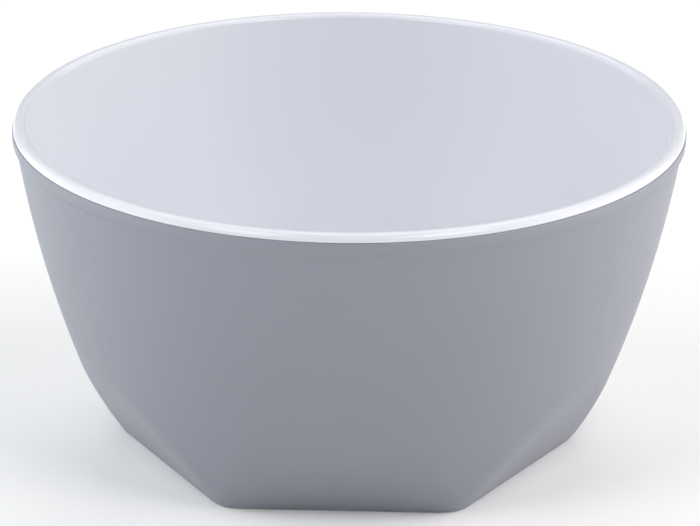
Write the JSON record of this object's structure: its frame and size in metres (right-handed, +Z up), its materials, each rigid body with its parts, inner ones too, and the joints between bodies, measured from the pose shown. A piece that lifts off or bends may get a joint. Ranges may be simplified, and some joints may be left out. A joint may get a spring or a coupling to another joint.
{
  "type": "chip and dip server",
  "caption": "Round two-tone serving bowl on a six-sided foot: a glossy white lining with a lip, set in a satin grey outer shell.",
  "frame": {"origin": "centre of the six-sided face that the bowl stands on", "axes": "+Z up along the bowl's axis; one side of the foot faces -Y"},
  "size_m": [0.25, 0.25, 0.1265],
  "materials": {
    "shell_grey": "satin, cool light grey",
    "lining_white": "glossy, cool white",
    "seal_rubber": "matte"
  },
  "bodies": {
    "root": {"outer_shell": "shell_grey", "inner_bowl": "lining_white", "rim_seal": "seal_rubber"}
  },
  "joints": []
}
